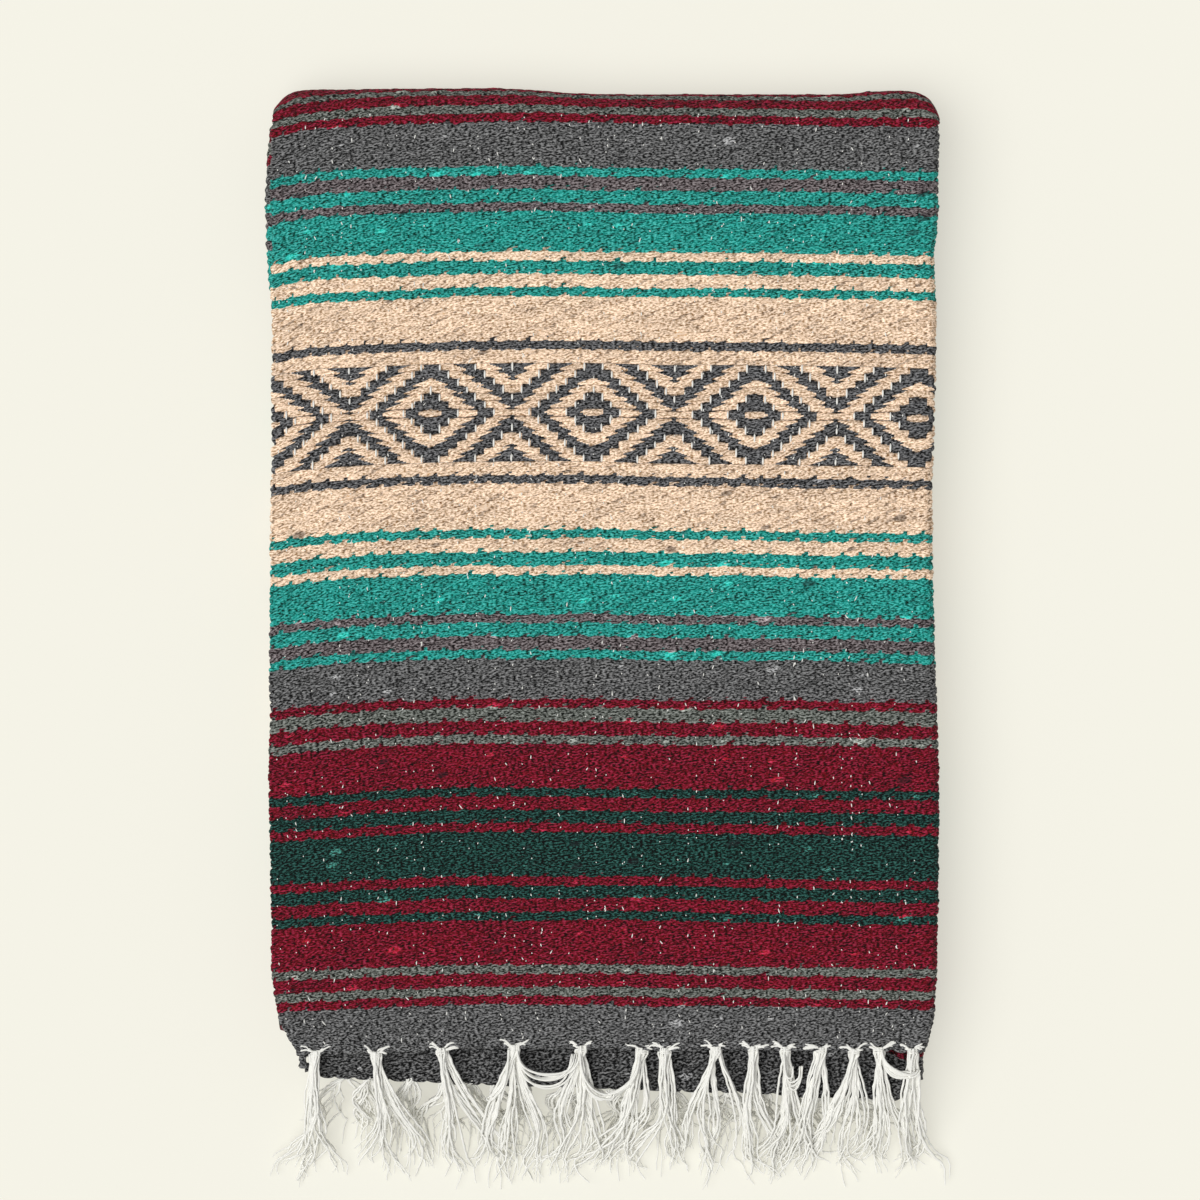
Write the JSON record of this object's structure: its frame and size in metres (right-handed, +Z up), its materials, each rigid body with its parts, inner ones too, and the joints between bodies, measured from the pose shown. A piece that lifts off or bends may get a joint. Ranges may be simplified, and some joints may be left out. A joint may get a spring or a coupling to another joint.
{
  "type": "folded serape blanket",
  "caption": "Striped, diamond-banded blanket serape with knotted fringe, folded in quarters both ways and lying flat, its fringed end to the front.",
  "frame": {"origin": "centre of the bounding box in plan, on the surface the folded blanket lies on", "axes": "+X across the blanket to its folded right side, +Y from the fringed front edge to the top fold, +Z up through the stack"},
  "size_m": [0.3228, 0.531, 0.0384],
  "materials": {
    "striped_cloth": "coarse weft-faced weave of heathered recycled yarn, matte with a light fuzz",
    "fringe_yarn": "soft white cotton warp yarn, matte"
  },
  "bodies": {
    "root": {"front_flap": "striped_cloth", "folded_layers": "striped_cloth", "second_end": "striped_cloth", "front_fringe": "fringe_yarn", "second_fringe": "fringe_yarn"}
  },
  "joints": []
}
